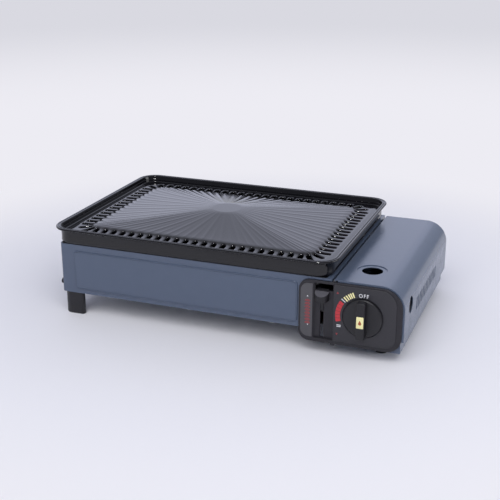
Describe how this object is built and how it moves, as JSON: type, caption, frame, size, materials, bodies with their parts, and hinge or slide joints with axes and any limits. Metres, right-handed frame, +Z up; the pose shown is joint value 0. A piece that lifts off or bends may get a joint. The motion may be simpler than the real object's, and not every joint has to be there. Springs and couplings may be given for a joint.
{
  "type": "table-top butane gas grill",
  "caption": "Portable table-top gas grill: ridged enamel plate over a drip tray and ring burner, with a hinged cartridge housing, lock lever and control knob on its right.",
  "frame": {"origin": "on the table under the middle of the footprint, which runs from the knob's front to the plate's back edge", "axes": "+X to the right along the control side, +Y from the controls to the back, +Z up"},
  "size_m": [0.4586, 0.287, 0.124],
  "materials": {
    "black_enamel": "glossy enamel",
    "grey_paint": "satin powder coat",
    "zinc_steel": "zinc plated",
    "burner_steel": "satin",
    "bare_aluminium": "mill finish",
    "cast_aluminium": "die cast",
    "brass": "turned",
    "black_screws": "black oxide",
    "black_plastic": "fine texture",
    "yellow_plastic": "printed",
    "black_rubber": "matte",
    "red_silicone": "matte",
    "white_ceramic": null
  },
  "bodies": {
    "frame": {"body_shell": "grey_paint", "base_pan": "zinc_steel", "base_screws": "zinc_steel", "heat_shield": "bare_aluminium", "left_leg_front": "black_plastic", "left_leg_back": "black_plastic", "leg_screws": "black_screws", "burner_ring": "burner_steel", "burner_stand": "zinc_steel", "mixing_tube": "burner_steel", "air_shutter": "zinc_steel", "gas_jet": "brass", "jet_bracket": "zinc_steel", "gas_pipe": "bare_aluminium", "pipe_nut": "brass", "electrode_bracket": "zinc_steel", "electrode_insulator": "white_ceramic", "spark_electrode": "burner_steel", "ignition_wire": "red_silicone", "piezo_igniter": "black_plastic", "housing_base": "grey_paint", "rubber_feet": "black_rubber", "hinge_brackets": "zinc_steel", "hinge_pins": "zinc_steel", "control_panel": "black_plastic", "panel_screws": "zinc_steel", "carriage_guides": "black_plastic", "regulator_body": "cast_aluminium", "regulator_screws": "zinc_steel", "diaphragm": "black_rubber", "regulator_cap": "cast_aluminium", "regulating_spring": "zinc_steel", "cap_screws": "zinc_steel", "cartridge_seat": "brass", "seat_oring": "black_rubber", "guide_plate": "zinc_steel"},
    "tray": {"drip_tray": "black_enamel"},
    "plate": {"grill_plate": "black_enamel"},
    "lid": {"cartridge_lid": "grey_paint"},
    "lever": {"lock_lever": "black_plastic", "lever_cam_plate": "zinc_steel"},
    "carriage": {"cartridge_carriage": "zinc_steel"},
    "knob": {"control_knob": "black_plastic", "knob_badge": "yellow_plastic", "valve_shaft": "zinc_steel"}
  },
  "joints": [
    {"name": "tray_lift", "type": "slide", "parent": "frame", "child": "tray", "axis": [0, 0, 1], "range_m": [0, 0.06]},
    {"name": "plate_lift", "type": "slide", "parent": "tray", "child": "plate", "axis": [0, 0, 1], "range_m": [0, 0.07]},
    {"name": "lid_hinge", "type": "hinge", "parent": "frame", "child": "lid", "pos_m": [0.1463, 0.0121, 0.0924], "axis": [0, -1, 0], "range_deg": [0, 75]},
    {"name": "lever_slide", "type": "slide", "parent": "frame", "child": "lever", "axis": [0, 0, -1], "range_m": [0, 0.032]},
    {"name": "carriage_slide", "type": "slide", "parent": "frame", "child": "carriage", "axis": [0, -1, 0], "range_m": [0, 0.006]},
    {"name": "knob_turn", "type": "hinge", "parent": "frame", "child": "knob", "pos_m": [0.1811, -0.1365, 0.0539], "axis": [0, -1, 0], "range_deg": [0, 105]}
  ],
  "couplings": [
    {"joint": "carriage_slide", "follows": "lever_slide", "ratio": 0.1875}
  ]
}
